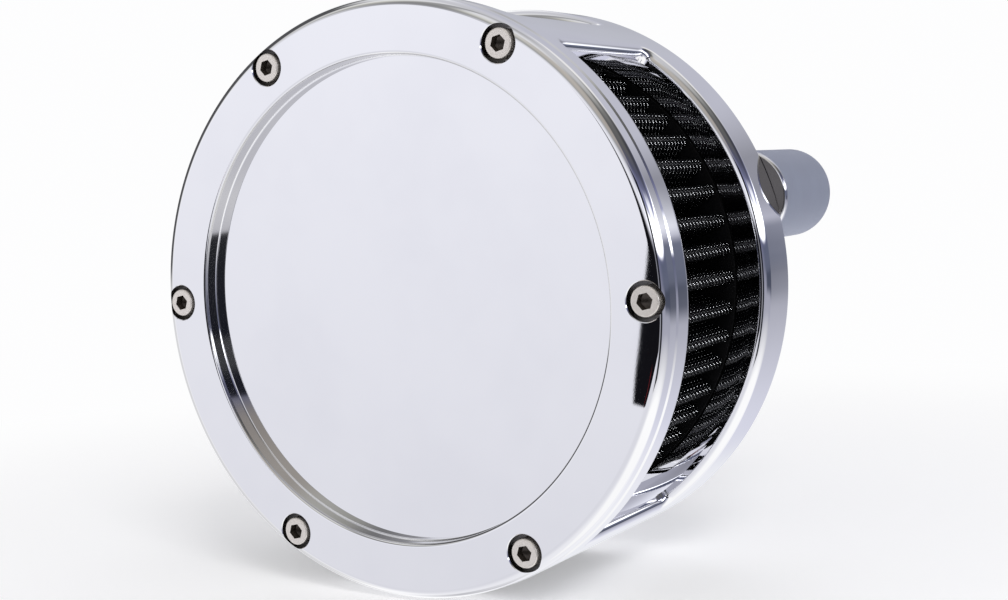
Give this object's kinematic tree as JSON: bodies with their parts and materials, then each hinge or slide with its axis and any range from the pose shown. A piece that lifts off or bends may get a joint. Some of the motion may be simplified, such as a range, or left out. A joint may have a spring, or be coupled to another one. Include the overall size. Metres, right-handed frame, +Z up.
{
  "type": "motorcycle air cleaner",
  "caption": "Round open-cage air cleaner with a screwed, recessed cover over a pleated drum filter, and two tubular breather standoffs behind its back wall.",
  "frame": {"origin": "centre of the throttle bore on the back face of the housing", "axes": "+Y along the filter axis towards the engine, so the cover faces -Y; +Z up, towards the side where both standoffs lie above the centre line; +X towards the right-hand standoff as seen from the cover"},
  "size_m": [0.1652, 0.1338, 0.165],
  "materials": {
    "polished_metal": "mirror polished and chrome plated",
    "stainless": "bare stainless steel",
    "cotton_gauze": "oiled black gauze",
    "black_mesh": "black coated wire mesh",
    "urethane": "moulded satin",
    "machined_aluminium": "turned",
    "seal_rubber": "satin",
    "gasket_fibre": "pressed fibre sheet",
    "anodised_aluminium": "bead blasted, clear anodised",
    "zinc_steel": "zinc plated",
    "copper_washer": "soft copper"
  },
  "bodies": {
    "housing": {"housing": "polished_metal", "inlet_ring": "machined_aluminium", "inlet_ring_seal": "seal_rubber", "throttle_screws": "stainless", "throttle_screw_washers": "stainless", "throttle_gasket": "gasket_fibre", "standoff_right": "anodised_aluminium", "standoff_left": "anodised_aluminium", "standoff_collar_right": "polished_metal", "standoff_collar_left": "polished_metal", "standoff_seal_right": "seal_rubber", "standoff_seal_left": "seal_rubber", "head_seal_right": "seal_rubber", "head_seal_left": "seal_rubber", "breather_bolt_right": "zinc_steel", "breather_bolt_left": "zinc_steel", "breather_bolt_washer_right": "copper_washer", "breather_bolt_washer_left": "copper_washer"},
    "cover": {"cover": "polished_metal"},
    "cover_screws": {"cover_screws": "stainless"},
    "filter_element": {"filter_media": "cotton_gauze", "filter_outer_mesh": "black_mesh", "filter_inner_mesh": "black_mesh", "filter_front_ring": "urethane", "filter_rear_ring": "urethane"}
  },
  "joints": [
    {"name": "cover_off", "type": "slide", "parent": "housing", "child": "cover", "axis": [0, -1, 0], "range_m": [0, 0.16]},
    {"name": "cover_screws_out", "type": "slide", "parent": "cover", "child": "cover_screws", "axis": [0, -1, 0], "range_m": [0, 0.03]},
    {"name": "element_out", "type": "slide", "parent": "housing", "child": "filter_element", "axis": [0, -1, 0], "range_m": [0, 0.08]}
  ],
  "couplings": [
    {"joint": "element_out", "follows": "cover_off", "ratio": 0.5}
  ]
}
